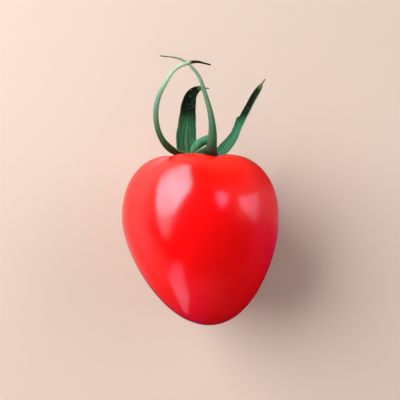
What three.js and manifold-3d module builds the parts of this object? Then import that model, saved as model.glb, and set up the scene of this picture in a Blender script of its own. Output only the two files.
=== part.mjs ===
import * as THREE from 'three';
import { mergeVertices } from 'three/addons/utils/BufferGeometryUtils.js';
import Module from 'manifold-3d';

const wasm = await Module();
wasm.setup();

// A heart-shaped cherry tomato lying on its side, in millimetres and degrees. The origin is on the
// flat spot that it rests on, straight below its centre of mass. +Y runs to the stem end, +Z is up.

// The fruit along its own axis, from the blossom tip to the rim of the stem cavity.
const fruitWidth = 35;
const fruitLength = 38;
const widestAt = 24.2;
const tipBluntness = 10.1;
const flankReach = 8.5;
const shoulderReach = 9;
const rimRadius = 7.1;
const rimReach = 5.4;
const rimRoundness = 2;
const cavityDepth = 3.2;
const cavityFloorReach = 4.6;

// How it departs from a round one: a tip that leans sideways, three soft ridges along the body,
// and shoulders that dip under each sepal. Azimuths are about its axis, 0 upward, 90 towards +X.
const tipLean = 1.95;
const tipLeanPower = 1.4;
const ridgeCount = 3;
const ridgeHeight = 0.26;
const ridgeSharpness = 0.2;
const ridgeAzimuth = 9;
const sepalCount = 5;
const grooveDepth = 0.55;
const grooveNarrowness = 2;
const grooveAzimuth = 20;

// How it lies: the stem end is raised a little, the underside is pressed to a small flat spot, and
// the middle of its mass, this far from the tip, stands over the origin.
const restTilt = 12;
const flatSpotDepth = 0.25;
const balanceAlong = 21.6;

// The disc that the sepals grow from, held clear of the floor of the stem cavity.
const calyxGap = 0.45;
const discRadius = 3.1;
const discThickness = 1.5;

const fruitSides = 64;
const fruitSteps = 14;
const bladeSides = 10;
const bladeSteps = 22;
const discSides = 20;

// Sepals and stub. A row is a point on the midrib: x, y, z, then the half width and the half
// thickness there, and the roll, the angle that each side of the blade curls through. The inner
// side looks along the three faces at the root, where the blade leaves the cavity, and at the tip.
const leavesCavityAt = 0.3;
const axisFace = [0, 0.98, 0.2];
const sepals = [
  {
    // the long one at the upper left, which arches over to the right
    faces: [axisFace, [0.8, 0.1, -0.55], [0.1, -0.4, -0.9]],
    rows: [
      [-0.9, 14.2, 20.3, 1.6, 0.45, 10],
      [-3.5, 15.2, 22.7, 1.9, 0.45, 20],
      [-6.4, 15.8, 25.2, 1.4, 0.4, 45],
      [-8.2, 17.8, 26.6, 0.85, 0.35, 75],
      [-9.2, 21.0, 27.4, 0.76, 0.32, 80],
      [-9.1, 25.0, 27.9, 0.72, 0.32, 80],
      [-7.6, 28.6, 28.3, 0.58, 0.3, 70],
      [-5.1, 32.2, 28.4, 0.38, 0.3, 50],
      [-1.4, 34.3, 27.6, 0.38, 0.3, 20],
      [2.3, 34.6, 26.0, 0.32, 0.3, 0],
    ],
  },
  {
    // the long one in front, whose end curls to the left
    faces: [axisFace, [-0.2, 0.2, -0.95], [0, 0.3, -0.9]],
    rows: [
      [0.4, 14.1, 20.7, 1.6, 0.45, 10],
      [1.2, 14.8, 24.2, 2.6, 0.45, 15],
      [2.2, 15.5, 27.6, 1.2, 0.4, 45],
      [2.45, 18.0, 28.7, 0.95, 0.35, 70],
      [2.2, 22.0, 27.9, 0.65, 0.32, 80],
      [1.1, 27.0, 26.8, 0.44, 0.3, 80],
      [-0.6, 32.4, 25.9, 0.32, 0.3, 60],
      [-4.1, 36.2, 25.4, 0.31, 0.3, 30],
      [-9.0, 36.8, 26.0, 0.3, 0.3, 0],
    ],
  },
  {
    // the broad one behind, open to the viewer, with its end hooked to the right
    faces: [axisFace, [0.25, -0.1, 1], [0.1, -0.1, 1]],
    rows: [
      [-1.0, 14.4, 19.0, 1.8, 0.5, 10],
      [-2.8, 16.4, 18.2, 2.35, 0.4, 20],
      [-3.4, 20.0, 18.4, 2.5, 0.35, 25],
      [-3.2, 24.0, 18.5, 2.2, 0.32, 25],
      [-2.9, 28.5, 18.6, 1.85, 0.32, 25],
      [-2.2, 31.4, 18.6, 1.4, 0.3, 25],
      [-0.4, 33.0, 18.8, 0.75, 0.3, 15],
      [2.2, 32.9, 19.2, 0.32, 0.3, 0],
    ],
  },
  {
    // the straight one at the right
    faces: [axisFace, [-0.4, 0.1, 0.9], [-0.3, 0.1, 0.9]],
    rows: [
      [1.2, 14.5, 19.6, 1.6, 0.45, 10],
      [4.4, 16.6, 20.2, 1.75, 0.4, 25],
      [7.2, 19.7, 21.0, 1.4, 0.35, 40],
      [8.75, 22.9, 21.2, 1.15, 0.32, 45],
      [10.4, 26.0, 21.4, 0.98, 0.32, 50],
      [12.15, 29.4, 21.5, 0.82, 0.3, 45],
      [13.5, 31.8, 21.5, 0.6, 0.3, 20],
      [14.9, 34.0, 21.5, 0.32, 0.3, 0],
    ],
  },
  {
    // the one behind, turned down over the shoulder of the fruit
    faces: [axisFace, [0.1, 0.95, -0.3], [0.25, 0.45, -0.85]],
    rows: [
      [0.3, 14.5, 18.5, 1.6, 0.5, 10],
      [1.2, 16.8, 16.0, 2.0, 0.4, 15],
      [2.0, 18.8, 13.3, 2.1, 0.35, 20],
      [2.8, 19.6, 10.5, 1.8, 0.32, 25],
      [3.7, 18.8, 7.6, 1.4, 0.32, 25],
      [4.8, 16.8, 4.9, 0.9, 0.3, 20],
      [6.0, 14.3, 2.9, 0.3, 0.3, 0],
    ],
  },
];
const stalkStub = {
  faces: [[0, -0.6, 0.8], [0, -0.6, 0.8], [0, -0.6, 0.8]],
  rows: [
    [0.0, 14.4, 19.6, 1.6, 1.6, 0],
    [-1.1, 16.2, 21.3, 1.25, 1.25, 0],
    [-0.7, 17.6, 22.5, 1.0, 1.0, 0],
    [0.6, 18.4, 23.2, 0.95, 0.95, 0],
    [2.4, 18.7, 23.6, 1.1, 1.1, 0],
  ],
};

const smooth = THREE.MathUtils.smoothstep;
const radians = THREE.MathUtils.degToRad;
const vector = (list) => new THREE.Vector3(...list);

// A closed geometry as a solid, and a solid as a geometry again.
function toSolid(geometry) {
  const bare = geometry.clone();
  bare.deleteAttribute('normal');
  bare.deleteAttribute('uv');
  const merged = mergeVertices(bare, 1e-4);
  const vertProperties = new Float32Array(merged.attributes.position.array);
  const triVerts = new Uint32Array(merged.index.array);
  return new wasm.Manifold(new wasm.Mesh({ numProp: 3, vertProperties, triVerts }));
}

function toGeometry(solid) {
  const mesh = solid.getMesh();
  const geometry = new THREE.BufferGeometry();
  geometry.setAttribute('position', new THREE.BufferAttribute(mesh.vertProperties, 3));
  geometry.setIndex(new THREE.BufferAttribute(mesh.triVerts, 1));
  geometry.computeVertexNormals();
  return geometry;
}

function moveVertices(geometry, move) {
  const position = geometry.attributes.position;
  const vertex = new THREE.Vector3();
  for (let i = 0; i < position.count; i += 1) {
    vertex.fromBufferAttribute(position, i);
    move(vertex);
    position.setXYZ(i, vertex.x, vertex.y, vertex.z);
  }
}

// Half of the fruit's section, as radius and distance along the axis: flank, shoulder and cavity.
function fruitSection() {
  const point = (radius, along) => new THREE.Vector2(radius, along);
  const widest = point(fruitWidth / 2, widestAt);
  const rim = point(rimRadius, fruitLength);
  const floor = fruitLength - cavityDepth;
  const curves = [
    [point(0, 0), point(tipBluntness, 0), point(widest.x, widestAt - flankReach), widest],
    [widest, point(widest.x, widestAt + shoulderReach), point(rimRadius + rimReach, fruitLength), rim],
    [rim, point(rimRadius - rimRoundness, fruitLength), point(cavityFloorReach, floor), point(0, floor)],
  ];
  const section = curves.flatMap((ends) => {
    const points = new THREE.CubicBezierCurve(...ends).getPoints(fruitSteps);
    return points.slice(1);
  });
  return [point(0, 0), ...section];
}

// Bends a round fruit to its real form: ridges, grooves and leaning tip.
function shapeFruit(vertex) {
  const along = vertex.y;
  const azimuth = Math.atan2(vertex.x, vertex.z);
  const radius = Math.hypot(vertex.x, vertex.z);
  const body = smooth(along, 0, widestAt / 2) * (1 - smooth(along, widestAt, fruitLength));
  const turn = ridgeCount * (azimuth - radians(ridgeAzimuth));
  const ridge = Math.cos(turn) + ridgeSharpness * Math.cos(2 * turn);
  const shoulder = smooth(along, widestAt, fruitLength) * smooth(radius, 0, rimRadius);
  const wave = 0.5 + 0.5 * Math.cos(sepalCount * (azimuth - radians(grooveAzimuth)));
  const groove = wave ** grooveNarrowness;
  const dip = grooveDepth * shoulder * groove;
  const sink = dip * smooth(radius, rimRadius, fruitWidth / 2);
  const newRadius = radius + ridgeHeight * ridge * body - sink;
  const lean = tipLean * Math.max(0, 1 - along / widestAt) ** tipLeanPower;
  vertex.set(newRadius * Math.sin(azimuth) + lean, along - dip, newRadius * Math.cos(azimuth));
}

// Turns the fruit on its side over the origin. The calyx is placed by the same turn and shift.
const restTurn = new THREE.Matrix4().makeRotationX(radians(restTilt));
const fruitBlank = new THREE.LatheGeometry(fruitSection(), fruitSides);
moveVertices(fruitBlank, shapeFruit);
fruitBlank.applyMatrix4(restTurn);
fruitBlank.computeBoundingBox();
const rise = -fruitBlank.boundingBox.min.z - flatSpotDepth;
const restShift = new THREE.Matrix4().makeTranslation(0, -balanceAlong * Math.cos(radians(restTilt)), rise);
fruitBlank.applyMatrix4(restShift);
const ground = new THREE.BoxGeometry(2 * fruitWidth, 2 * fruitLength, fruitWidth);
ground.translate(0, 0, -fruitWidth / 2);
const fruitSolid = toSolid(fruitBlank).subtract(toSolid(ground));

// A closed blade along a midrib: a lens-shaped section whose two sides curl towards the inner face.
function bladeSolid({ rows, faces }) {
  const [rootFace, middleFace, tipFace] = faces.map(vector);
  const midrib = new THREE.CatmullRomCurve3(rows.map((row) => vector(row.slice(0, 3))), false, 'catmullrom');
  const section = new THREE.CatmullRomCurve3(rows.map((row) => vector(row.slice(3))), false, 'catmullrom');
  const blade = new THREE.CylinderGeometry(1, 1, 1, bladeSides, bladeSteps);
  moveVertices(blade, (vertex) => {
    const part = THREE.MathUtils.clamp(vertex.y + 0.5, 0, 1);
    const at = midrib.getUtoTmapping(part);
    const centre = midrib.getPoint(at);
    const tangent = midrib.getTangent(at);
    const face = rootFace.clone().lerp(middleFace, smooth(part, 0, leavesCavityAt));
    face.lerp(tipFace, smooth(part, leavesCavityAt, 1));
    const side = new THREE.Vector3().crossVectors(tangent, face).normalize();
    const normal = new THREE.Vector3().crossVectors(side, tangent);
    const { x: halfWidth, y: halfThickness, z: roll } = section.getPoint(at);
    const curl = Math.max(radians(roll), 1e-3);
    const turn = curl * vertex.x;
    const across = (halfWidth / curl) * Math.sin(turn) - halfThickness * vertex.z * Math.sin(turn);
    const inward = (halfWidth / curl) * (1 - Math.cos(turn)) + halfThickness * vertex.z * Math.cos(turn);
    vertex.copy(centre).addScaledVector(side, across).addScaledVector(normal, inward);
  });
  return toSolid(blade);
}

// The disc lies in the cavity, square to the fruit's axis.
function discSolid() {
  const disc = new THREE.SphereGeometry(1, discSides, discSides / 2);
  disc.scale(discRadius, discThickness / 2, discRadius);
  disc.translate(0, fruitLength - cavityDepth + calyxGap + discThickness / 2, 0);
  disc.applyMatrix4(restTurn).applyMatrix4(restShift);
  return toSolid(disc);
}

const calyxParts = [...sepals, stalkStub].map(bladeSolid);
const calyxSolid = calyxParts.reduce((whole, blade) => whole.add(blade), discSolid());

function piece(name, solid, material) {
  const mesh = new THREE.Mesh(toGeometry(solid), material);
  mesh.name = name;
  return mesh;
}

const skin = new THREE.MeshStandardMaterial({ color: '#e3141a', roughness: 0.25, metalness: 0 });
const leaf = new THREE.MeshStandardMaterial({ color: '#3f7a4c', roughness: 0.7, metalness: 0 });

const tomato = new THREE.Group();
tomato.add(piece('fruit', fruitSolid, skin));
tomato.add(piece('calyx', calyxSolid, leaf));

export default tomato;
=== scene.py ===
# A heart-shaped cherry tomato with its green calyx, lying on its side on a pale table.
# Sizes are in millimetres and angles in degrees. Only the shaders' own distances are in metres.

import math
import random

import bmesh
import bpy
import numpy as np
from mathutils import Matrix, Vector, noise
from mathutils.geometry import interpolate_bezier


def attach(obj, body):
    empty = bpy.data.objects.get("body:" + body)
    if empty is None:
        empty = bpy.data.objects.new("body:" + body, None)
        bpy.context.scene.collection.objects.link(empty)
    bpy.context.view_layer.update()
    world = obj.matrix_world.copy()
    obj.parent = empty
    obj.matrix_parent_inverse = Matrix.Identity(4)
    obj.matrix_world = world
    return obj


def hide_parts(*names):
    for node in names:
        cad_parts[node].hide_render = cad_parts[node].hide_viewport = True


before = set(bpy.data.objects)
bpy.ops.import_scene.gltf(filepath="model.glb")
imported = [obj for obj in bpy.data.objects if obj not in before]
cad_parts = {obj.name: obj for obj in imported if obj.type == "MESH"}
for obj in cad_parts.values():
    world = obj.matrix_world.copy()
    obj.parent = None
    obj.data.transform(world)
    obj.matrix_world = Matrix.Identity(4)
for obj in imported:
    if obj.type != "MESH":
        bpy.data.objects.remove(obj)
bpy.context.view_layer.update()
mm = 0.001
print("frame loaded")


def smoothStep(value, low, high):
    share = min(max((value - low) / (high - low), 0.0), 1.0)
    return share * share * (3 - 2 * share)


def bump(value, middle, width):
    return math.exp(-(((value - middle) / width) ** 2))


def makePiece(bm, name, material):
    bmesh.ops.recalc_face_normals(bm, faces=bm.faces)
    bmesh.ops.scale(bm, vec=(mm, mm, mm), verts=bm.verts)
    mesh = bpy.data.meshes.new(name)
    bm.to_mesh(mesh)
    bm.free()
    mesh.shade_smooth()
    mesh.materials.append(material)
    piece = bpy.data.objects.new(name, mesh)
    bpy.context.scene.collection.objects.link(piece)
    return piece


def dressPiece(piece, node=None):
    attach(piece, "root")
    if node:
        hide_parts(node)
    return piece


# Shader helpers. A tint is written as it looks on a screen, 0 to 255, and the colours of light
# are linear.


def tint(red, green, blue):
    linear = [((c / 255 + 0.055) / 1.055) ** 2.4 if c > 10 else c / 255 / 12.92 for c in (red, green, blue)]
    return (*linear, 1)


def addNode(tree, kind, values=None, **settings):
    made = tree.nodes.new("ShaderNode" + kind)
    for name, value in settings.items():
        setattr(made, name, value)
    for socket, value in (values or {}).items():
        if isinstance(value, bpy.types.NodeSocket):
            tree.links.new(value, made.inputs[socket])
        else:
            made.inputs[socket].default_value = value
    return made


def calc(tree, operation, first, second=0.0, third=0.0):
    return addNode(tree, "Math", {0: first, 1: second, 2: third}, operation=operation).outputs[0]


def remap(tree, value, low, high, fromHigh=1.0, fromLow=0.0):
    values = {"Value": value, "From Min": low, "From Max": high, "To Min": fromLow, "To Max": fromHigh}
    return addNode(tree, "MapRange", values, interpolation_type="SMOOTHSTEP").outputs[0]


def blend(tree, factor, first, second, how="MIX"):
    values = {0: factor, 6: first, 7: second}
    return addNode(tree, "Mix", values, data_type="RGBA", blend_type=how).outputs[2]


def attribute(tree, name):
    return addNode(tree, "Attribute", attribute_name=name).outputs["Fac"]


def newGroup(name, inputs, outputs):
    tree = bpy.data.node_groups.new(name, "ShaderNodeTree")
    for side, sockets in (("INPUT", inputs), ("OUTPUT", outputs)):
        for socket, kind in sockets.items():
            tree.interface.new_socket(name=socket, in_out=side, socket_type="NodeSocket" + kind)
    return tree, tree.nodes.new("NodeGroupInput"), tree.nodes.new("NodeGroupOutput")


def useGroup(tree, group, values):
    placed = tree.nodes.new("ShaderNodeGroup")
    placed.node_tree = group
    for socket, value in values.items():
        if isinstance(value, bpy.types.NodeSocket):
            tree.links.new(value, placed.inputs[socket])
        else:
            placed.inputs[socket].default_value = value
    return placed.outputs


def spotFrame(tree):
    objectPlace = addNode(tree, "TexCoord").outputs["Object"]
    return addNode(tree, "Mapping", {"Vector": objectPlace, "Scale": (1000, 1000, 1000)}).outputs[0]


def newMaterial(name, settings):
    material = bpy.data.materials.new(name)
    material.use_nodes = True
    tree = material.node_tree
    shader = tree.nodes["Principled BSDF"]
    for socket, value in settings.items():
        shader.inputs[socket].default_value = value
    return material, tree, shader


# Soft patches of lighter and darker tissue.
softMottle, groupIn, groupOut = newGroup(
    "softMottle", {"Vector": "Vector", "Scale": "Float", "Spread": "Float"}, {"Value": "Float"}
)
given = groupIn.outputs
noiseValues = {"Vector": given["Vector"], "Scale": given["Scale"], "Detail": 4.0, "Roughness": 0.55}
patches = addNode(softMottle, "TexNoise", noiseValues)
centred = calc(softMottle, "SUBTRACT", patches.outputs["Fac"], 0.5)
widened = calc(softMottle, "MULTIPLY", centred, given["Spread"])
softMottle.links.new(calc(softMottle, "ADD", widened, 0.5), groupOut.inputs["Value"])

# Small scattered dots, such as pores and gland spots. Share is how many of the cells hold one.
fineSpecks, groupIn, groupOut = newGroup(
    "fineSpecks",
    {"Vector": "Vector", "Scale": "Float", "Size": "Float", "Share": "Float"},
    {"Mask": "Float"},
)
given = groupIn.outputs
cells = addNode(fineSpecks, "TexVoronoi", {"Vector": given["Vector"], "Scale": given["Scale"]})
soft = remap(fineSpecks, cells.outputs["Distance"], 0.0, given["Size"], 0.0, 1.0)
chosen = addNode(fineSpecks, "SeparateColor", {"Color": cells.outputs["Color"]})
kept = calc(fineSpecks, "LESS_THAN", chosen.outputs[0], given["Share"])
fineSpecks.links.new(calc(fineSpecks, "MULTIPLY", soft, kept), groupOut.inputs["Mask"])

# Long faint lines that run along a fruit or a blade. Cover is how much of the width they take.
streakInputs = ("Around", "Along", "Lines", "Stretch", "Sharpness", "Cover")
longStreaks, groupIn, groupOut = newGroup(
    "longStreaks", dict.fromkeys(streakInputs, "Float"), {"Mask": "Float"}
)
given = groupIn.outputs
acrossLines = calc(longStreaks, "MULTIPLY", given["Around"], given["Lines"])
alongLines = calc(longStreaks, "MULTIPLY", given["Along"], given["Stretch"])
spot = addNode(longStreaks, "CombineXYZ", {"X": acrossLines, "Y": alongLines})
noiseValues = {"Vector": spot.outputs[0], "Scale": 1.0, "Detail": 3.0, "Roughness": 0.6}
lines = addNode(longStreaks, "TexNoise", noiseValues)
centred = calc(longStreaks, "SUBTRACT", lines.outputs["Fac"], 0.5)
steep = calc(longStreaks, "MULTIPLY", centred, given["Sharpness"])
shown = addNode(longStreaks, "Clamp", {"Value": calc(longStreaks, "ADD", steep, given["Cover"])})
longStreaks.links.new(shown.outputs[0], groupOut.inputs["Mask"])

# Tissue that has dried brown past a place, with a ragged front.
dryTissue, groupIn, groupOut = newGroup(
    "dryTissue",
    {"Place": "Float", "Start": "Float", "Front": "Float", "Vector": "Vector", "Scale": "Float"},
    {"Mask": "Float"},
)
given = groupIn.outputs
ragged = addNode(dryTissue, "TexNoise", {"Vector": given["Vector"], "Scale": given["Scale"], "Detail": 3.0})
shift = calc(dryTissue, "SUBTRACT", ragged.outputs["Fac"], 0.5)
moved = calc(dryTissue, "MULTIPLY_ADD", shift, given["Front"], given["Place"])
end = calc(dryTissue, "ADD", given["Start"], given["Front"])
dryTissue.links.new(remap(dryTissue, moved, given["Start"], end), groupOut.inputs["Mask"])

# Height of the small cells and wrinkles of a surface.
tissueGrain, groupIn, groupOut = newGroup(
    "tissueGrain", {"Vector": "Vector", "Scale": "Float", "Wrinkle": "Float"}, {"Height": "Float"}
)
given = groupIn.outputs
place = {"Vector": given["Vector"], "Scale": given["Scale"]}
cells = addNode(tissueGrain, "TexVoronoi", place).outputs["Distance"]
wrinkles = addNode(tissueGrain, "TexNoise", {**place, "Detail": 4.0, "Roughness": 0.6}).outputs["Fac"]
wrinkled = calc(tissueGrain, "MULTIPLY_ADD", wrinkles, given["Wrinkle"], cells)
tissueGrain.links.new(wrinkled, groupOut.inputs["Height"])
print("shader groups built")


# The fruit. Its own axis runs along y from the blossom tip, before it is tilted to lie.
fruit = {
    "width": 35,
    "length": 38,
    "widestAt": 24.2,
    "tipBluntness": 10.1,
    "flankReach": 8.5,
    "shoulderReach": 9,
    "rimRadius": 7.1,
    "rimReach": 5.4,
    "rimRoundness": 2,
    "cavityDepth": 3.2,
    "cavityFloorReach": 4.6,
    "tipLean": 1.95,
    "tipLeanPower": 1.4,
    "ridgeCount": 3,
    "ridgeHeight": 0.26,
    "ridgeSharpness": 0.2,
    "ridgeAzimuth": 9,
    "grooveCount": 5,
    "grooveDepth": 0.55,
    "grooveNarrowness": 2,
    "grooveAzimuth": 20,
    "restTilt": 12,
    "flatSpotDepth": 0.25,
    "balanceAlong": 21.6,
    "around": 240,
    "stepsPerCurve": 46,
    "unevenness": 0.04,
    "unevenSpacing": 9,
    "unevenFrom": 5,
    "tipDimple": 0.35,
    "tipDimpleRadius": 1.6,
    "tipDimpleEnds": (1, 3),
    "cavityWrinkle": 0.07,
    "wrinkleStarts": (1.5, 3),
    "wrinklesFullAt": 36,
    "wrinklesPastRim": 1,
    "wrinklesAround": 9,
    "wrinkleLength": 4,
}


def fruitSection():
    v = fruit
    half, length, floor = v["width"] / 2, v["length"], v["length"] - v["cavityDepth"]
    curves = [
        [(0, 0), (v["tipBluntness"], 0), (half, v["widestAt"] - v["flankReach"]), (half, v["widestAt"])],
        [
            (half, v["widestAt"]),
            (half, v["widestAt"] + v["shoulderReach"]),
            (v["rimRadius"] + v["rimReach"], length),
            (v["rimRadius"], length),
        ],
        [
            (v["rimRadius"], length),
            (v["rimRadius"] - v["rimRoundness"], length),
            (v["cavityFloorReach"], floor),
            (0, floor),
        ],
    ]
    section = [Vector((0, 0))]
    for ends in curves:
        section += interpolate_bezier(*[Vector(end) for end in ends], v["stepsPerCurve"])[1:]
    return section


def shapeFruit(place):
    v = fruit
    along, azimuth, radius = place.y, math.atan2(place.x, place.z), math.hypot(place.x, place.z)
    rim = v["rimRadius"]
    body = smoothStep(along, 0, v["widestAt"] / 2) * (1 - smoothStep(along, v["widestAt"], v["length"]))
    turn = v["ridgeCount"] * (azimuth - math.radians(v["ridgeAzimuth"]))
    ridge = math.cos(turn) + v["ridgeSharpness"] * math.cos(2 * turn)
    shoulder = smoothStep(along, v["widestAt"], v["length"]) * smoothStep(radius, 0, rim)
    wave = 0.5 + 0.5 * math.cos(v["grooveCount"] * (azimuth - math.radians(v["grooveAzimuth"])))
    dip = v["grooveDepth"] * shoulder * wave ** v["grooveNarrowness"]
    sink = dip * smoothStep(radius, rim, v["width"] / 2)
    lumps = v["unevenness"] * noise.noise(place / v["unevenSpacing"])
    lumps *= smoothStep(radius, 0, v["unevenFrom"])
    inCavity = smoothStep(along, v["widestAt"], v["wrinklesFullAt"])
    inCavity *= smoothStep(radius, *v["wrinkleStarts"])
    inCavity *= 1 - smoothStep(radius, rim - v["rimRoundness"], rim + v["wrinklesPastRim"])
    wrinklePlace = Vector((azimuth * v["wrinklesAround"], radius / v["wrinkleLength"], 3))
    wrinkle = v["cavityWrinkle"] * inCavity * noise.noise(wrinklePlace)
    tip = v["tipDimple"] * bump(radius, 0, v["tipDimpleRadius"])
    tip *= 1 - smoothStep(along, *v["tipDimpleEnds"])
    newRadius = radius + v["ridgeHeight"] * ridge * body - sink + lumps
    lean = v["tipLean"] * max(0, 1 - along / v["widestAt"]) ** v["tipLeanPower"]
    return Vector(
        (newRadius * math.sin(azimuth) + lean, along - dip + wrinkle + tip, newRadius * math.cos(azimuth))
    )


restTurn = Matrix.Rotation(math.radians(fruit["restTilt"]), 3, "X")
bm = bmesh.new()
chain = [bm.verts.new((0, point.y, point.x)) for point in fruitSection()]
edges = [bm.edges.new(pair) for pair in zip(chain, chain[1:])]
bmesh.ops.spin(
    bm,
    geom=chain + edges,
    cent=(0, 0, 0),
    axis=(0, 1, 0),
    angle=math.tau,
    steps=fruit["around"],
    use_merge=True,
)
bmesh.ops.remove_doubles(bm, verts=bm.verts, dist=1e-3)
for vert in bm.verts:
    vert.co = shapeFruit(vert.co)
bmesh.ops.rotate(bm, cent=(0, 0, 0), matrix=restTurn, verts=bm.verts)
fruitRise = -min(vert.co.z for vert in bm.verts) - fruit["flatSpotDepth"]
restShift = Vector((0, -fruit["balanceAlong"] * math.cos(math.radians(fruit["restTilt"])), fruitRise))
bmesh.ops.translate(bm, vec=restShift, verts=bm.verts)
for vert in bm.verts:
    vert.co.z = max(vert.co.z, 0)  # the small flat spot that it rests on

skinLook = {
    "red": tint(234, 5, 7),
    "deepRed": tint(220, 3, 5),
    "shoulder": tint(240, 34, 12),
    "cavity": tint(214, 96, 30),
    "cork": tint(150, 104, 58),
    "speck": tint(250, 90, 50),
    "streakShare": 0.25,
    "shoulderShare": 0.5,
    "shoulderFrom": 2,
    "cavityStarts": (6, 3),
    "cavityRadii": (6.2, 2.4),
    "speckShare": 0.18,
    "corkRadius": 0.9,
    "corkRoughness": 0.5,
    "roughness": 0.17,
    "glossiest": 0.15,
    "mottleRoughness": 0.05,
}
fruitSkin, tree, shader = newMaterial(
    "fruitSkin",
    {
        "Roughness": skinLook["roughness"],
        "IOR": 1.45,
        "Subsurface Weight": 0.12,
        "Subsurface Radius": (1.0, 0.2, 0.1),
        "Subsurface Scale": 0.002,
        "Coat Weight": 0.25,
        "Coat Roughness": 0.14,
    },
)
# The fruit's own frame in millimetres, axis along y.
backTurn = restTurn.transposed()
ownFrame = addNode(
    tree,
    "Mapping",
    {
        "Vector": addNode(tree, "TexCoord").outputs["Object"],
        "Location": -(backTurn @ restShift),
        "Rotation": (-math.radians(fruit["restTilt"]), 0, 0),
        "Scale": (1000, 1000, 1000),
    },
).outputs[0]
own = addNode(tree, "SeparateXYZ", {"Vector": ownFrame}).outputs
radiusSquared = calc(tree, "MULTIPLY_ADD", own["X"], own["X"], calc(tree, "MULTIPLY", own["Z"], own["Z"]))
ownRadius = calc(tree, "SQRT", radiusSquared)
around = calc(tree, "ARCTAN2", own["X"], own["Z"])
mottle = useGroup(tree, softMottle, {"Vector": ownFrame, "Scale": 0.16, "Spread": 1.6})["Value"]
streakValues = {"Lines": 9.0, "Stretch": 0.05, "Sharpness": 2.0, "Cover": 0.5}
streaks = useGroup(tree, longStreaks, {"Around": around, "Along": own["Y"], **streakValues})["Mask"]
specks = useGroup(tree, fineSpecks, {"Vector": ownFrame, "Scale": 1.3, "Size": 0.16, "Share": 0.6})["Mask"]
colour = blend(tree, mottle, skinLook["deepRed"], skinLook["red"])
colour = blend(tree, calc(tree, "MULTIPLY", streaks, skinLook["streakShare"]), colour, skinLook["red"])
towardsStem = remap(tree, own["Y"], fruit["widestAt"] + skinLook["shoulderFrom"], fruit["length"])
shoulderMask = calc(tree, "MULTIPLY", towardsStem, skinLook["shoulderShare"])
colour = blend(tree, shoulderMask, colour, skinLook["shoulder"])
nearCavity = remap(tree, own["Y"], *[fruit["length"] - inset for inset in skinLook["cavityStarts"]])
cavityMask = calc(tree, "MULTIPLY", nearCavity, remap(tree, ownRadius, *skinLook["cavityRadii"]))
colour = blend(tree, cavityMask, colour, skinLook["cavity"])
colour = blend(tree, calc(tree, "MULTIPLY", specks, skinLook["speckShare"]), colour, skinLook["speck"])
inward = calc(tree, "MULTIPLY", ownRadius, -1.0)
corkValues = {"Start": -skinLook["corkRadius"], "Front": 0.35, "Vector": ownFrame, "Scale": 2.2}
tipMask = useGroup(tree, dryTissue, {"Place": inward, **corkValues})["Mask"]
colour = blend(tree, tipMask, colour, skinLook["cork"])
tree.links.new(colour, shader.inputs["Base Color"])
grain = useGroup(tree, tissueGrain, {"Vector": ownFrame, "Scale": 2.6, "Wrinkle": 0.5})["Height"]
skinBump = addNode(tree, "Bump", {"Height": grain, "Strength": 0.03, "Distance": 0.0002})
tree.links.new(skinBump.outputs[0], shader.inputs["Normal"])
rough = calc(tree, "MULTIPLY_ADD", mottle, skinLook["mottleRoughness"], skinLook["glossiest"])
rough = calc(tree, "MULTIPLY_ADD", tipMask, skinLook["corkRoughness"], rough)
tree.links.new(rough, shader.inputs["Roughness"])

tomato = dressPiece(makePiece(bm, "fruitSkin", fruitSkin), "fruit")
print("fruit shaped", len(tomato.data.polygons))


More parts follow.
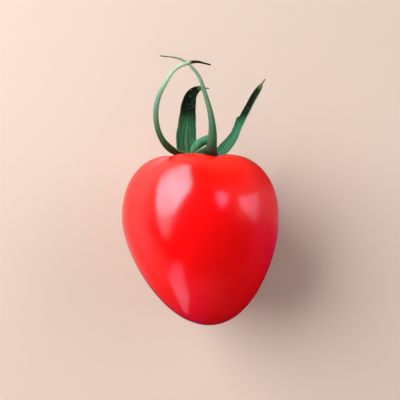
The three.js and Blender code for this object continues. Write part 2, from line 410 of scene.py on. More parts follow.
# The sepals and the stub of the stalk. A row is a point on the midrib: x, y, z, then the half
# width and half thickness there, and the angle that each side curls through. The inner side looks
# along the three faces at the root, where the blade leaves the cavity, and at the tip. Tissue is
# how thick the blade is beside its row, innerPale how light its inner side is, outerPaleAndLit how light
# its outer side is (at the root and further out), partly its own paler tone and partly painted
# light where the key light falls on it, rootShadeOlive how much painted shade darkens its root to olive,
# dryAndShadeFrom where its tip has withered, and on the arched sepal where painted shade darkens its
# turned-away tip, dryBrown how brown that is, and shrivel how much thinner.
axisFace = (0, 0.98, 0.2)
sepals = {
    "sepalArched": {
        "faces": (axisFace, (0.8, 0.1, -0.55), (0.1, -0.4, -0.9)),
        "rows": (
            (-0.9, 14.2, 20.3, 1.6, 0.45, 10),
            (-3.5, 15.2, 22.7, 1.9, 0.45, 20),
            (-6.4, 15.8, 25.2, 1.4, 0.4, 45),
            (-8.2, 17.8, 26.6, 0.85, 0.35, 75),
            (-9.2, 21.0, 27.4, 0.76, 0.32, 80),
            (-9.1, 25.0, 27.9, 0.72, 0.32, 80),
            (-7.6, 28.6, 28.3, 0.58, 0.3, 70),
            (-5.1, 32.2, 28.4, 0.38, 0.28, 50),
            (-1.4, 34.3, 27.6, 0.5, 0.32, 20),
            (2.3, 34.6, 26.0, 0.5, 0.32, 0),
        ),
        "tissue": 1.05,
        "innerPale": 0.4,
        "outerPaleAndLit": (0.0, 1.0),
        "rootShadeOlive": 1.0,
        # From here its end is painted dark: painted shade where the tip turns away from the light.
        "dryAndShadeFrom": 0.84,
        "dryBrown": 0.0,
        "shrivel": 0.0,
    },
    "sepalFront": {
        "faces": (axisFace, (-0.2, 0.2, -0.95), (0, 0.3, -0.9)),
        "rows": (
            (0.4, 14.1, 20.7, 1.6, 0.45, 10),
            (1.2, 14.8, 24.2, 2.6, 0.45, 15),
            (2.2, 15.5, 27.6, 1.2, 0.4, 45),
            (2.45, 18.0, 28.7, 0.95, 0.35, 70),
            (2.2, 22.0, 27.9, 0.65, 0.32, 80),
            (1.1, 27.0, 26.8, 0.44, 0.3, 80),
            (-0.6, 32.4, 25.9, 0.29, 0.25, 60),
            (-4.1, 36.2, 25.4, 0.28, 0.24, 30),
            (-9.0, 36.8, 26.0, 0.3, 0.25, 0),
        ),
        "tissue": 1.05,
        "innerPale": 0.4,
        "outerPaleAndLit": (0.1, 0.4),
        "rootShadeOlive": 0.2,
        "dryAndShadeFrom": 0.93,
        "dryBrown": 0.3,
        "shrivel": 0.2,
    },
    "sepalBroad": {
        "faces": (axisFace, (0.25, -0.1, 1), (0.1, -0.1, 1)),
        "rows": (
            (-1.0, 14.4, 19.0, 1.8, 0.5, 10),
            (-2.8, 16.4, 18.2, 2.35, 0.4, 20),
            (-3.4, 20.0, 18.4, 2.5, 0.35, 25),
            (-3.2, 24.0, 18.5, 2.2, 0.32, 25),
            (-2.9, 28.5, 18.6, 1.85, 0.32, 25),
            (-2.2, 31.4, 18.6, 1.4, 0.3, 25),
            (-0.4, 33.0, 18.8, 0.95, 0.3, 15),
            (2.2, 32.9, 19.2, 0.35, 0.3, 0),
        ),
        "tissue": 0.7,
        "innerPale": 0.35,
        "outerPaleAndLit": (0.3, 0.8),
        "rootShadeOlive": 0.5,
        "dryAndShadeFrom": 0.93,
        "dryBrown": 0.4,
        "shrivel": 0.35,
    },
    "sepalRight": {
        "faces": (axisFace, (-0.4, 0.1, 0.9), (-0.3, 0.1, 0.9)),
        "rows": (
            (1.2, 14.5, 19.6, 1.6, 0.45, 10),
            (4.4, 16.6, 20.2, 1.75, 0.4, 25),
            (7.2, 19.7, 21.0, 1.3, 0.35, 40),
            (8.75, 22.9, 21.2, 1.02, 0.32, 45),
            (10.4, 26.0, 21.4, 0.98, 0.32, 50),
            (12.15, 29.4, 21.5, 0.88, 0.3, 45),
            (13.5, 31.8, 21.5, 0.9, 0.3, 20),
            (14.9, 34.0, 21.5, 0.6, 0.3, 0),
        ),
        "tissue": 0.75,
        "innerPale": 1.0,
        "outerPaleAndLit": (0.3, 0.6),
        "rootShadeOlive": 0.3,
        "dryAndShadeFrom": 0.92,
        "dryBrown": 1.0,
        "shrivel": 0.35,
        "tooth": {"at": 0.535, "side": -1, "rise": 0.1, "fall": 0.02, "height": 0.4},
    },
    "sepalBehind": {
        "faces": (axisFace, (0.1, 0.95, -0.3), (0.25, 0.45, -0.85)),
        "rows": (
            (0.3, 14.5, 18.5, 1.6, 0.5, 10),
            (1.2, 16.8, 16.0, 2.0, 0.4, 15),
            (2.0, 18.8, 13.3, 2.1, 0.35, 20),
            (2.8, 19.6, 10.5, 1.8, 0.32, 25),
            (3.7, 18.8, 7.6, 1.4, 0.32, 25),
            (4.8, 16.8, 4.9, 0.9, 0.3, 20),
            (6.0, 14.3, 2.9, 0.3, 0.3, 0),
        ),
        "tissue": 0.7,
        "innerPale": 0.5,
        "outerPaleAndLit": (0.3, 0.6),
        "rootShadeOlive": 0.5,
        "dryAndShadeFrom": 0.92,
        "dryBrown": 0.5,
        "shrivel": 0.35,
    },
}
# The form that all blades share.
bladeForm = {
    "around": 56,
    "steps": 190,
    "leavesCavityAt": 0.3,
    "edgeRoundness": 0.65,
    "tipWidth": 0.4,
    "tipFrom": 0.78,
    "pointFrom": 0.985,
    "midribHeight": 0.1,
    "midribWidth": 0.2,
    "waviness": 0.07,
    "waveSpacing": 0.09,
    "seedSpacing": 7.3,
    "wavesStart": (0.1, 0.3),
    "fleshyRootEnds": 0.25,
    "shrivelsOver": (-0.01, 0.015),
    "palesOver": (0.25, 0.74),
}
bladeMarks = ("along", "across", "inner", "outerPaleAndLit", "innerPale", "rootShadeOlive", "dryAndShadeFrom", "dryBrown")


def rowAt(rows, at):
    place = at * (len(rows) - 1)
    k = min(int(place), len(rows) - 2)
    share = place - k
    first, second = rows[k], rows[k + 1]
    before = rows[k - 1] if k else 2 * first - second
    after = rows[k + 2] if k + 2 < len(rows) else 2 * second - first
    leave, arrive, step = (second - before) / 2, (after - first) / 2, second - first
    square, cube = 3 * step - 2 * leave - arrive, leave + arrive - 2 * step
    return first + leave * share + square * share**2 + cube * share**3


# Where along the rows each even share of the blade's length lies.
def evenPlaces(rows, samples=200):
    points = np.array([rowAt(rows, i / samples)[:3] for i in range(samples + 1)])
    lengths = np.concatenate([[0], np.cumsum(np.linalg.norm(np.diff(points, axis=0), axis=1))])
    return lengths / lengths[-1]


def bladeFrame(blade, rows, places, part):
    at = float(np.interp(part, places, np.linspace(0, 1, len(places))))
    row, step = rowAt(rows, at), 1e-4
    ahead, back = rowAt(rows, min(at + step, 1)), rowAt(rows, max(at - step, 0))
    tangent = Vector((ahead - back)[:3]).normalized()
    root, middle, tip = [Vector(face) for face in blade["faces"]]
    leaves = bladeForm["leavesCavityAt"]
    face = root.lerp(middle, smoothStep(part, 0, leaves)).lerp(tip, smoothStep(part, leaves, 1))
    side = tangent.cross(face).normalized()
    return Vector(row[:3]), side, side.cross(tangent), row[3], row[4], math.radians(max(row[5], 0.1))


# A closed blade: a round bar, cut into rings and wrapped on the midrib. A sepal gets a flat lens
# section with a midrib, wavy margins and a fine point, and a stub stays round.
def makeBlade(blade, seed, around, steps, reach=1.0, girth=(1.0, 1.0), sepal=True):
    form, rows = bladeForm, np.array(blade["rows"], float)
    places, tooth, frames = evenPlaces(rows), blade.get("tooth"), {}
    bm = bmesh.new()
    bmesh.ops.create_cone(bm, cap_ends=True, segments=around, radius1=1, radius2=1, depth=1)
    lengthwise = [edge for edge in bm.edges if abs(edge.verts[0].co.z - edge.verts[1].co.z) > 0.5]
    bmesh.ops.subdivide_edges(bm, edges=lengthwise, cuts=steps - 1, use_grid_fill=True)
    layers = {name: bm.verts.layers.float.new(name) for name in bladeMarks}
    for vert in bm.verts:
        ring = round((vert.co.z + 0.5) * steps)
        part = ring / steps * reach
        if ring not in frames:
            frames[ring] = bladeFrame(blade, rows, places, part)
        centre, side, normal, halfWidth, halfThickness, curl = frames[ring]
        x, y = vert.co.x, vert.co.y
        grow, lift = girth[0] + (girth[1] - girth[0]) * ring / steps, y
        if sepal:
            wavePlace = (part / form["waveSpacing"], 2.0 if x > 0 else -2.0, seed * form["seedSpacing"])
            wave = noise.noise(Vector(wavePlace))
            grow *= 1 - (1 - form["tipWidth"]) * smoothStep(part, form["tipFrom"], 1)
            shrivelled = [blade["dryAndShadeFrom"] + past for past in form["shrivelsOver"]]
            grow *= 1 - blade["shrivel"] * smoothStep(part, *shrivelled)
            halfWidth *= 1 + form["waviness"] * wave * smoothStep(part, *form["wavesStart"])
            if tooth and x * tooth["side"] > 0:
                before = smoothStep(part, tooth["at"] - tooth["rise"], tooth["at"])
                after = smoothStep(part, tooth["at"], tooth["at"] + tooth["fall"])
                halfWidth *= 1 + tooth["height"] * before * (1 - after) * abs(x)
            fleshy = 1 - smoothStep(part, 0, form["fleshyRootEnds"])
            halfThickness *= blade["tissue"] + (1 - blade["tissue"]) * fleshy
            lift = math.copysign(abs(y) ** form["edgeRoundness"], y)
            if y < 0:
                lift -= form["midribHeight"] / halfThickness * bump(x, 0, form["midribWidth"]) * (1 - part)
            if reach == 1 and part > form["pointFrom"]:
                grow *= math.sqrt(max(0, 1 - ((part - form["pointFrom"]) / (1 - form["pointFrom"])) ** 2))
        halfWidth, halfThickness, turn = halfWidth * grow, halfThickness * grow, curl * x
        acrossBy = halfWidth / curl * math.sin(turn) - halfThickness * lift * math.sin(turn)
        inwardBy = halfWidth / curl * (1 - math.cos(turn)) + halfThickness * lift * math.cos(turn)
        vert[layers["along"]], vert[layers["across"]], vert[layers["inner"]] = part, x, y
        if sepal:
            rootPale, farPale = blade["outerPaleAndLit"]
            paled = smoothStep(part, *form["palesOver"])
            vert[layers["outerPaleAndLit"]] = rootPale + (farPale - rootPale) * paled
            for mark in bladeMarks[4:]:
                vert[layers[mark]] = blade[mark]
        vert.co = centre + side * acrossBy + normal * inwardBy
    bmesh.ops.remove_doubles(bm, verts=bm.verts, dist=2e-3)
    return bm


leafLook = {
    # outerMintAndLit is partly the sepals' own pale tone and partly painted light.
    "outerMintAndLit": tint(138, 182, 152),
    # paintedSheenWhite is a painted sheen.
    "paintedSheenWhite": tint(196, 220, 188),
    "outerGreen": tint(36, 70, 43),
    # outerShadeOlive is painted shade at the roots.
    "outerShadeOlive": tint(36, 46, 16),
    "innerPale": tint(44, 110, 84),
    "innerGreen": tint(36, 76, 38),
    "innerDark": tint(3, 9, 1),
    "innerOlive": tint(10, 20, 2),
    "vein": tint(84, 134, 92),
    "speck": tint(140, 176, 140),
    "margin": tint(116, 146, 100),
    # root is painted shade in the stem cavity.
    "root": tint(38, 56, 14),
    "tip": tint(66, 104, 46),
    "dry": tint(46, 40, 16),
    "dryBrown": tint(128, 88, 52),
}
# How strongly each mark of a sepal shows, and where along or across the blade it fades.
pattern = {
    "innerOver": (-0.12, 0.12),
    "oliveShadeFades": (0.4, 0.2),
    "sheenFades": (0.56, 0.72),
    "white": 0.6,
    "outerMottle": 0.3,
    "outerLines": 0.15,
    "innerMottle": 0.7,
    "greenFades": (0.61, 0.4),
    "green": 0.75,
    "innerEdge": (0.95, 0.5, 1.0, 0.5),
    "innerLines": (0.6, 0.35, 0.6, 0.04),
    "midribWidth": (0.13, 0.04),
    "midribFades": (0.65, 0.3),
    "midrib": 0.7,
    "specks": 0.08,
    "marginRimFades": (0.92, 0.98),
    "margin": 0.5,
    "rootShadeFades": (0.16, 0.05),
    "root": 0.85,
    "greenTip": 0.8,
    "lineRelief": 0.8,
    "grainRelief": 0.4,
    "roughness": 0.5,
    "dryRoughness": 0.25,
}
sepalTissue, tree, shader = newMaterial(
    "sepalTissue",
    {
        "IOR": 1.4,
        "Specular IOR Level": 0.05,
        "Subsurface Weight": 0.05,
        "Subsurface Radius": (0.4, 1.0, 0.3),
        "Subsurface Scale": 0.0006,
        "Sheen Weight": 0.004,
        "Sheen Roughness": 0.4,
        "Sheen Tint": (0.85, 1, 0.88, 1),
    },
)
along, across, inner, outerPaleAndLit, innerPale, rootShadeOlive, dryAndShadeFrom, dryBrown = [
    attribute(tree, name) for name in bladeMarks
]
spots = spotFrame(tree)
width = calc(tree, "ABSOLUTE", across)
mottle = useGroup(tree, softMottle, {"Vector": spots, "Scale": 0.7, "Spread": 1.8})["Value"]
lineValues = {"Lines": 9.0, "Stretch": 3.0, "Sharpness": 9.0, "Cover": 0.1}
fineLines = useGroup(tree, longStreaks, {"Around": across, "Along": along, **lineValues})["Mask"]
specks = useGroup(tree, fineSpecks, {"Vector": spots, "Scale": 3.6, "Size": 0.34, "Share": 0.3})["Mask"]
isInner = remap(tree, inner, *pattern["innerOver"])
onMidrib = remap(tree, width, *pattern["midribWidth"])
midrib = calc(tree, "MULTIPLY", onMidrib, remap(tree, along, *pattern["midribFades"]))
# Painted shade: the outer side is darkened to olive towards its root, as far as each blade's rootShadeOlive
# says.
olive = calc(tree, "MULTIPLY", remap(tree, along, *pattern["oliveShadeFades"]), rootShadeOlive)
outerColour = blend(tree, olive, leafLook["outerGreen"], leafLook["outerShadeOlive"])
# The mint outer side: partly the sepal's own paler tone, partly painted light where the key light from the
# left falls on it.
outerColour = blend(tree, outerPaleAndLit, outerColour, leafLook["outerMintAndLit"])
# Painted sheen: towards its far end the outer side turns nearly white, where the light from the left
# catches its pale hairs.
sheenAlong = calc(tree, "MULTIPLY", remap(tree, along, *pattern["sheenFades"]), outerPaleAndLit)
paintedSheenMask = calc(tree, "MULTIPLY", sheenAlong, pattern["white"])
outerColour = blend(tree, paintedSheenMask, outerColour, leafLook["paintedSheenWhite"])
outerPatches = calc(tree, "MULTIPLY", mottle, pattern["outerMottle"])
outerColour = blend(tree, outerPatches, outerColour, leafLook["outerGreen"])
outerVeins = calc(tree, "MULTIPLY", fineLines, pattern["outerLines"])
outerColour = blend(tree, outerVeins, outerColour, leafLook["vein"])
innerPatches = calc(tree, "MULTIPLY", mottle, pattern["innerMottle"])
innerColour = blend(tree, innerPatches, leafLook["innerDark"], leafLook["innerOlive"])
paling = remap(tree, along, *pattern["greenFades"])
greening = calc(tree, "MULTIPLY", paling, pattern["green"])
innerColour = blend(tree, greening, innerColour, leafLook["innerGreen"])
bright = calc(tree, "MULTIPLY", paling, remap(tree, width, *pattern["innerEdge"]))
innerColour = blend(tree, calc(tree, "MULTIPLY", bright, innerPale), innerColour, leafLook["innerPale"])
innerVeins = calc(tree, "MULTIPLY", fineLines, remap(tree, along, *pattern["innerLines"]))
innerColour = blend(tree, innerVeins, innerColour, leafLook["vein"])
innerColour = blend(tree, calc(tree, "MULTIPLY", midrib, pattern["midrib"]), innerColour, leafLook["vein"])
innerColour = blend(tree, calc(tree, "MULTIPLY", specks, pattern["specks"]), innerColour, leafLook["speck"])
colour = blend(tree, isInner, outerColour, innerColour)
# The pale margin line: partly the blade's own pale edge, partly painted rim light.
margin = calc(tree, "MULTIPLY", remap(tree, width, *pattern["marginRimFades"]), pattern["margin"])
colour = blend(tree, margin, colour, leafLook["margin"])
# Painted shade: every blade is darkened at its root, down in the stem cavity.
rootShadeMask = calc(tree, "MULTIPLY", remap(tree, along, *pattern["rootShadeFades"]), pattern["root"])
colour = blend(tree, rootShadeMask, colour, leafLook["root"])
drying = {"Place": along, "Vector": spots}
greenTip = useGroup(tree, dryTissue, {**drying, "Start": 0.86, "Front": 0.05, "Scale": 2.0})["Mask"]
greenTip = calc(tree, "MULTIPLY", calc(tree, "MULTIPLY", greenTip, isInner), pattern["greenTip"])
colour = blend(tree, greenTip, colour, leafLook["tip"])
# Dried tips: real withering on most blades; on the arched sepal, which neither browns nor shrivels, painted
# shade on its turned-away end.
dried = useGroup(tree, dryTissue, {**drying, "Start": dryAndShadeFrom, "Front": 0.03, "Scale": 3.0})["Mask"]
colour = blend(tree, dried, colour, blend(tree, dryBrown, leafLook["dry"], leafLook["dryBrown"]))
tree.links.new(colour, shader.inputs["Base Color"])
grain = useGroup(tree, tissueGrain, {"Vector": spots, "Scale": 5.0, "Wrinkle": 0.6})["Height"]
relief = calc(tree, "MULTIPLY_ADD", fineLines, pattern["lineRelief"], midrib)
relief = calc(tree, "MULTIPLY_ADD", grain, pattern["grainRelief"], relief)
leafBump = addNode(tree, "Bump", {"Height": relief, "Strength": 0.5, "Distance": 0.00008})
tree.links.new(leafBump.outputs[0], shader.inputs["Normal"])
rough = calc(tree, "MULTIPLY_ADD", dried, pattern["dryRoughness"], pattern["roughness"])
tree.links.new(rough, shader.inputs["Roughness"])

green = []
for seed, (name, blade) in enumerate(sepals.items()):
    bm = makeBlade(blade, seed, bladeForm["around"], bladeForm["steps"])
    green.append(dressPiece(makePiece(bm, name, sepalTissue), "calyx"))
print("sepals shaped", len(green))

# How the stub and the hub are marked. The stub is darkened towards its end, a painted shade where it turns
# away from the light, and dries at its scar.
tissuePattern = {
    "shadeOver": (0.55, 0.85),
    "dark": 0.7,
    "specks": 0.35,
    "scarFrom": 0.93,
    "roughness": 0.45,
    "mottleRoughness": 0.1,
}


def makeTissue(name, dark, pale, scar):
    material, tree, shader = newMaterial(
        name,
        {
            "Specular IOR Level": 0.15,
            "Sheen Weight": 0.02,
            "Sheen Roughness": 0.4,
            "Subsurface Weight": 0.08,
            "Subsurface Scale": 0.001,
        },
    )
    spots, along = spotFrame(tree), attribute(tree, "along")
    mottle = useGroup(tree, softMottle, {"Vector": spots, "Scale": 0.8, "Spread": 1.8})["Value"]
    speckValues = {"Vector": spots, "Scale": 3.5, "Size": 0.32, "Share": 0.35}
    specks = useGroup(tree, fineSpecks, speckValues)["Mask"]
    colour = blend(tree, mottle, dark, pale)
    # Painted shade along the stub towards its far end.
    paintedShade = remap(tree, along, *tissuePattern["shadeOver"])
    colour = blend(tree, calc(tree, "MULTIPLY", paintedShade, tissuePattern["dark"]), colour, dark)
    colour = blend(tree, calc(tree, "MULTIPLY", specks, tissuePattern["specks"]), colour, leafLook["speck"])
    scarValues = {"Start": tissuePattern["scarFrom"], "Front": 0.05, "Vector": spots, "Scale": 1.5}
    dried = useGroup(tree, dryTissue, {"Place": along, **scarValues})["Mask"]
    tree.links.new(blend(tree, dried, colour, scar), shader.inputs["Base Color"])
    grain = useGroup(tree, tissueGrain, {"Vector": spots, "Scale": 4.0, "Wrinkle": 0.8})["Height"]
    tissueBump = addNode(tree, "Bump", {"Height": grain, "Strength": 0.4, "Distance": 0.0001})
    tree.links.new(tissueBump.outputs[0], shader.inputs["Normal"])
    rough = calc(tree, "MULTIPLY_ADD", mottle, tissuePattern["mottleRoughness"], tissuePattern["roughness"])
    tree.links.new(rough, shader.inputs["Roughness"])
    return material


# The short stub of the stalk, bent to the right, with the dry scar where it parted.
stalkStub = {
    "faces": ((0, -0.6, 0.8),) * 3,
    "rows": (
        (0.0, 14.4, 19.6, 1.6, 1.6, 0),
        (-1.1, 16.2, 21.3, 1.25, 1.25, 0),
        (-0.7, 17.6, 22.5, 1.0, 1.0, 0),
        (0.6, 18.4, 23.2, 0.95, 0.95, 0),
        (2.4, 18.7, 23.6, 1.1, 1.1, 0),
    ),
    "seed": 11,
    "around": 48,
    "steps": 60,
}
stubTissue = makeTissue("stubTissue", tint(46, 100, 70), tint(80, 146, 106), tint(112, 98, 60))
bm = makeBlade(stalkStub, stalkStub["seed"], stalkStub["around"], stalkStub["steps"], sepal=False)
green.append(dressPiece(makePiece(bm, "stalkStub", stubTissue), "calyx"))

# The hub: the disc in the cavity, its neck and the roots of the sepals, grown together.
hub = {
    "radius": 3.1,
    "thickness": 1.5,
    "sides": 48,
    "gap": 0.45,
    "neckRadius": 1.7,
    "neckLength": 1.6,
    "neckRise": 0.3,
    "neckSides": 40,
    "rootReach": 0.2,
    "rootGirth": (1.15, 0.6),
    "rootAround": 24,
    "rootSteps": 30,
    "voxel": 0.14,
    "smoothing": 6,
}


def standInCavity(bm, along):
    bmesh.ops.rotate(bm, cent=(0, 0, 0), matrix=Matrix.Rotation(math.radians(90), 3, "X"), verts=bm.verts)
    bmesh.ops.translate(bm, vec=(0, along, 0), verts=bm.verts)
    bmesh.ops.rotate(bm, cent=(0, 0, 0), matrix=restTurn, verts=bm.verts)
    bmesh.ops.translate(bm, vec=restShift, verts=bm.verts)
    return bm


cavityFloor = fruit["length"] - fruit["cavityDepth"]
disc = bmesh.new()
bmesh.ops.create_uvsphere(disc, u_segments=hub["sides"], v_segments=hub["sides"] // 2, radius=1)
bmesh.ops.scale(disc, vec=(hub["radius"], hub["radius"], hub["thickness"] / 2), verts=disc.verts)
neck = bmesh.new()
bmesh.ops.create_cone(
    neck,
    cap_ends=True,
    segments=hub["neckSides"],
    radius1=hub["neckRadius"],
    radius2=hub["neckRadius"],
    depth=hub["neckLength"],
)
hubParts = [
    standInCavity(disc, cavityFloor + hub["gap"] + hub["thickness"] / 2),
    standInCavity(neck, cavityFloor + hub["neckRise"]),
]
for seed, blade in enumerate(sepals.values()):
    root = makeBlade(blade, seed, hub["rootAround"], hub["rootSteps"], hub["rootReach"], hub["rootGirth"])
    hubParts.append(root)
hubMesh = bpy.data.meshes.new("hubDraft")
joined = bmesh.new()
for part in hubParts:
    part.to_mesh(hubMesh)
    part.free()
    joined.from_mesh(hubMesh)
bmesh.ops.recalc_face_normals(joined, faces=joined.faces)
joined.to_mesh(hubMesh)
joined.free()
draft = bpy.data.objects.new("hubDraft", hubMesh)
bpy.context.scene.collection.objects.link(draft)
remesh = draft.modifiers.new("remesh", "REMESH")
remesh.mode, remesh.voxel_size = "VOXEL", hub["voxel"]
grown = bpy.data.meshes.new_from_object(draft.evaluated_get(bpy.context.evaluated_depsgraph_get()))
bpy.data.objects.remove(draft)
bm = bmesh.new()
bm.from_mesh(grown)
for _ in range(hub["smoothing"]):
    bmesh.ops.smooth_vert(bm, verts=bm.verts, factor=0.5, use_axis_x=True, use_axis_y=True, use_axis_z=True)
hubTissue = makeTissue("hubTissue", tint(34, 66, 24), tint(48, 92, 44), tint(48, 92, 44))
green.append(dressPiece(makePiece(bm, "calyxHub", hubTissue), "calyx"))
print("hub grown", len(green[-1].data.polygons))


# Fine hairs all over the calyx, three-sided and straight.
hairs = {
    "count": 2600,
    "seed": 5,
    "length": (0.14, 0.4),
    "radius": 0.014,
    "tipRadius": 0.006,
    "spread": 0.45,
    "dark": tint(128, 156, 120),
    "pale": tint(190, 206, 180),
}
hairTissue, tree, shader = newMaterial("hairTissue", {"Roughness": 0.5, "Specular IOR Level": 0.3})
mottle = useGroup(tree, softMottle, {"Vector": spotFrame(tree), "Scale": 0.5, "Spread": 2.0})["Value"]
tree.links.new(blend(tree, mottle, hairs["dark"], hairs["pale"]), shader.inputs["Base Color"])

random.seed(hairs["seed"])
bm = bmesh.new()
faces = [(piece, face) for piece in green for face in piece.data.polygons]
picked = random.choices(faces, weights=[face.area for _, face in faces], k=hairs["count"])
for piece, face in picked:
    jitter = Vector([random.gauss(0, 1) for _ in range(3)]) * hairs["spread"]
    direction = (face.normal + jitter).normalized()
    length = random.uniform(*hairs["length"])
    place = face.center / mm + direction * (length / 2 - hairs["radius"])
    turn = Matrix.Translation(place) @ direction.to_track_quat("Z", "X").to_matrix().to_4x4()
    radii = {"radius1": hairs["radius"], "radius2": hairs["tipRadius"]}
    bmesh.ops.create_cone(bm, cap_ends=True, segments=3, **radii, depth=length, matrix=turn)
dressPiece(makePiece(bm, "calyxHairs", hairTissue), "calyx")
print("hairs grown", hairs["count"])


# What the skin mirrors of the room, by azimuth: 0 is +y, 90 is +x. Each stop is an azimuth and a
# colour. The lit table and the wall behind it share it, so they meet at the horizon.
roomStops = (
    (-180, (0.08, 0.015, 0.2)),
    (-166, (0.08, 0.02, 0.14)),
    (-144, (0.2, 0.17, 0.2)),
    (-128, (0.5, 0.42, 0.42)),
    (-108, (0.85, 0.75, 0.72)),
    (-70, (1.0, 0.92, 0.85)),
    (-30, (1.1, 1.0, 0.95)),
    (-12, (0.75, 0.65, 0.6)),
    (5, (0.4, 0.34, 0.27)),
    (30, (0.24, 0.2, 0.16)),
    (48, (0.14, 0.11, 0.12)),
    (60, (0.2, 0.17, 0.18)),
    (72, (0.46, 0.4, 0.42)),
    (86, (0.42, 0.35, 0.4)),
    (95, (0.2, 0.08, 0.3)),
    (108, (0.1, 0.02, 0.17)),
    (125, (0.02, 0.01, 0.03)),
    (165, (0.02, 0.01, 0.03)),
)
roomOutputs = {"Color": "Color", "Azimuth": "Float"}
roomByAzimuth, groupIn, groupOut = newGroup("roomByAzimuth", {"Vector": "Vector"}, roomOutputs)
place = addNode(roomByAzimuth, "SeparateXYZ", {"Vector": groupIn.outputs["Vector"]}).outputs
azimuth = calc(roomByAzimuth, "ARCTAN2", place["X"], place["Y"])
turnShare = calc(roomByAzimuth, "MULTIPLY_ADD", azimuth, 1 / math.tau, 0.5)
ramp = addNode(roomByAzimuth, "ValToRGB", {"Fac": turnShare})
stops = ramp.color_ramp.elements
for number, (angle, colour) in enumerate(roomStops):
    stop = stops[number] if number < 2 else stops.new((angle + 180) / 360)
    stop.position = (angle + 180) / 360
    stop.color = (*colour, 1)
roomByAzimuth.links.new(ramp.outputs["Color"], groupOut.inputs["Color"])
roomByAzimuth.links.new(azimuth, groupOut.inputs["Azimuth"])

# The pale table. Near the fruit its mirror image is darker, and one strip of it
# shines towards the blossom tip.
table = {
    "halfSize": 2000,
    "pale": tint(194, 178, 167),
    "deep": tint(187, 170, 158),
    "nearShadowShare": 0.45,
    "near": 35,
    "far": 160,
    "stripFrom": (12, 43, 0),
    "stripEdges": ((-163, -157), (-135, -142)),
    "strip": (1.2, 1.15, 1.6, 1),
}
bm = bmesh.new()
bmesh.ops.create_grid(bm, x_segments=1, y_segments=1, size=table["halfSize"])
tableTop, tree, shader = newMaterial("tableTop", {"Roughness": 0.85, "Specular IOR Level": 0.2})
spots = spotFrame(tree)
mottle = useGroup(tree, softMottle, {"Vector": spots, "Scale": 0.02, "Spread": 0.6})["Value"]
tree.links.new(blend(tree, mottle, table["deep"], table["pale"]), shader.inputs["Base Color"])
distance = addNode(tree, "VectorMath", {0: spots}, operation="LENGTH").outputs["Value"]
# Painted shadow: the table's mirror image is dimmed near the fruit, where the fruit's own shadow falls.
mirrorShade = remap(tree, distance, table["near"], table["far"], 1.0, table["nearShadowShare"])
fromTip = addNode(tree, "VectorMath", {0: spots, 1: table["stripFrom"]}, operation="ADD").outputs["Vector"]
stripAzimuth = useGroup(tree, roomByAzimuth, {"Vector": fromTip})["Azimuth"]
stripEdges = [[math.radians(angle) for angle in edge] for edge in table["stripEdges"]]
stripMask = calc(tree, "MULTIPLY", *[remap(tree, stripAzimuth, *edge) for edge in stripEdges])
mirrored = blend(tree, stripMask, useGroup(tree, roomByAzimuth, {"Vector": spots})["Color"], table["strip"])
mirror = addNode(tree, "Emission", {"Color": mirrored, "Strength": mirrorShade})
isMirror = addNode(tree, "LightPath").outputs["Is Glossy Ray"]
tableShader = addNode(tree, "MixShader", {0: isMirror, 1: shader.outputs[0], 2: mirror.outputs[0]})
tree.links.new(tableShader.outputs[0], tree.nodes["Material Output"].inputs["Surface"])
makePiece(bm, "tableTop", tableTop)


# Soft daylight. The panels give the soft light, and the panes are the bright windows that the
# skin mirrors.
def towards(azimuth, elevation):
    turn, lift = math.radians(azimuth), math.radians(elevation)
    return Vector((math.sin(turn) * math.cos(lift), math.cos(turn) * math.cos(lift), math.sin(lift)))


lightCentre, lightDistance = Vector((0, 0, 18)), 600
panels = {
    "keyPanel": {
        "azimuth": -66,
        "elevation": 34,
        "size": (640, 460),
        "radiance": 9,
        "colour": (1.0, 0.98, 0.96),
    },
    "rightPanel": {
        "azimuth": 68,
        "elevation": 22,
        "size": (600, 420),
        "radiance": 3.2,
        "colour": (1.0, 0.95, 0.96),
    },
    "tipPanel": {
        "azimuth": 180,
        "elevation": 8,
        "size": (500, 300),
        "radiance": 1.7,
        "colour": (1.0, 0.95, 0.96),
    },
}
for name, panel in panels.items():
    light = bpy.data.lights.new(name, "AREA")
    light.shape = "RECTANGLE"
    light.size, light.size_y = [side * mm for side in panel["size"]]
    light.energy = panel["radiance"] * math.pi * light.size * light.size_y
    light.color = panel["colour"]
    lamp = bpy.data.objects.new(name, light)
    bpy.context.scene.collection.objects.link(lamp)
    away = towards(panel["azimuth"], panel["elevation"])
    lamp.location = (lightCentre + away * lightDistance) * mm
    lamp.rotation_euler = (-away).to_track_quat("-Z", "Y").to_euler()
    lamp.visible_camera = lamp.visible_glossy = False

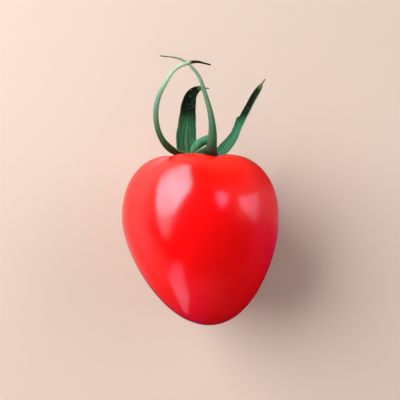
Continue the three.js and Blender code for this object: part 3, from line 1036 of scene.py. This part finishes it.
# Each corner of a pane is an azimuth, an elevation and its share of the way from faint to glow.
# Middle is that share at the centre, and a pane fades out over its softness towards its edge.
panes = {
    "windowPane": {
        "corners": (
            (-15, 1, 0.2),
            (-37, 1, 0.15),
            (-48, 4, 0.2),
            (-69, 18, 0.6),
            (-83, 23, 0.75),
            (-96, 27, 0.6),
            (-100, 48, 0.55),
            (-89, 54, 0.9),
            (-76, 59, 1.0),
            (-57, 61, 1.0),
            (-35, 61, 1.0),
            (-12, 51, 0.75),
            (-10, 32, 0.7),
            (-7, 8, 0.4),
        ),
        "middle": 0.92,
        "softness": 45,
        "glow": (9.6, 10.5, 12.4),
        "faint": (0.6, 0.6, 0.6),
    },
    "windowFoot": {
        "corners": (
            (-90, 26, 0.9),
            (-108, 25, 0.8),
            (-123, 23, 0.3),
            (-126, 32, 0.3),
            (-114, 41, 0.5),
            (-94, 48, 0.8),
        ),
        "middle": 0.7,
        "softness": 20,
        "glow": (3.4, 3.6, 4.2),
        "faint": (0.1, 0.1, 0.1),
    },
    "smallPane": {
        "corners": (
            (40, 50, 1.0),
            (42, 38, 1.2),
            (51, 39, 1.1),
            (63, 48, 0.5),
            (76, 60, 0.2),
            (58, 62, 0.2),
        ),
        "middle": 1.3,
        "softness": 10,
        "glow": (3.0, 2.9, 4.6),
        "faint": (0.8, 0.1, 1.4),
    },
    "rightPane": {
        "corners": (
            (57, 30, 1.1),
            (64, 22, 0.7),
            (69, 2, 0.5),
            (86, 0, 0.35),
            (96, 4, 0.3),
            (91, 16, 0.5),
            (82, 28, 1.1),
            (71, 33, 1.2),
        ),
        "middle": 0.6,
        "softness": 8,
        "glow": (3.0, 2.8, 3.6),
        "faint": (0.2, 0.1, 0.45),
    },
    "streakPane": {
        "corners": (
            (-139, 9, 0.9),
            (-149, 23, 0.9),
            (-155, 11, 1.0),
            (-158, 0, 1.0),
            (-143, 0, 1.0),
        ),
        "middle": 1.0,
        "softness": 20,
        "glow": (1.2, 1.15, 1.7),
        "faint": (0.1, 0.1, 0.1),
    },
}
for name, pane in panes.items():
    bm = bmesh.new()
    share, edge = bm.verts.layers.float.new("share"), bm.verts.layers.float.new("edge")
    for azimuth, elevation, brightness in pane["corners"]:
        bm.verts.new(lightCentre + towards(azimuth, elevation) * lightDistance)[share] = brightness
    outline = list(bm.verts)
    bmesh.ops.contextual_create(bm, geom=outline)
    bmesh.ops.inset_individual(bm, faces=bm.faces, thickness=pane["softness"], use_even_offset=True)
    inside = [vert for vert in bm.verts if vert not in outline]
    middle = bmesh.ops.poke(bm, faces=[max(bm.faces, key=lambda face: len(face.verts))])["verts"]
    for vert in inside + middle:
        vert[edge] = 1
    middle[0][share] = pane["middle"]
    glow = bpy.data.materials.new(name)
    glow.use_nodes = True
    tree = glow.node_tree
    tree.nodes.clear()
    colour = blend(tree, attribute(tree, "share"), (*pane["faint"], 1), (*pane["glow"], 1))
    emission = addNode(tree, "Emission", {"Color": colour, "Strength": 1.0})
    clear = addNode(tree, "BsdfTransparent")
    shaders = {0: attribute(tree, "edge"), 1: clear.outputs[0], 2: emission.outputs[0]}
    addNode(tree, "OutputMaterial", {"Surface": addNode(tree, "MixShader", shaders).outputs[0]})
    shownPane = makePiece(bm, name, glow)
    shownPane.visible_camera = shownPane.visible_diffuse = shownPane.visible_shadow = False
    shownPane.visible_transmission = shownPane.visible_volume_scatter = False

world = bpy.data.worlds.new("softRoom")
bpy.context.scene.world = world
world.use_nodes = True
tree = world.node_tree
direction = addNode(tree, "TexCoord").outputs["Generated"]
rise = addNode(tree, "SeparateXYZ", {"Vector": direction}).outputs["Z"]
room = {"fill": (0.26, 0.25, 0.245, 1), "dark": (0.012, 0.01, 0.014, 1), "wallTop": 0.36}
wall = remap(tree, rise, room["wallTop"], 0.0)
roomColour = useGroup(tree, roomByAzimuth, {"Vector": direction})["Color"]
mirroredRoom = blend(tree, wall, room["dark"], roomColour)
isMirror = addNode(tree, "LightPath").outputs["Is Glossy Ray"]
tree.links.new(blend(tree, isMirror, room["fill"], mirroredRoom), tree.nodes["Background"].inputs["Color"])

# The camera hangs close above the fruit and looks down, leaning a little towards the stem end.
view = {"place": (-0.12, -4.74, 87.96), "lean": 9, "lens": 28.08, "sensor": 36}
lens = bpy.data.cameras.new("camera")
lens.lens = view["lens"]
lens.sensor_width = view["sensor"]
lens.clip_start = mm
camera = bpy.data.objects.new("camera", lens)
bpy.context.scene.collection.objects.link(camera)
camera.location = Vector(view["place"]) * mm
camera.rotation_euler = (math.radians(view["lean"]), 0, 0)
bpy.context.scene.camera = camera
bpy.context.scene.view_settings.view_transform = "Standard"
print("table, light and camera set")
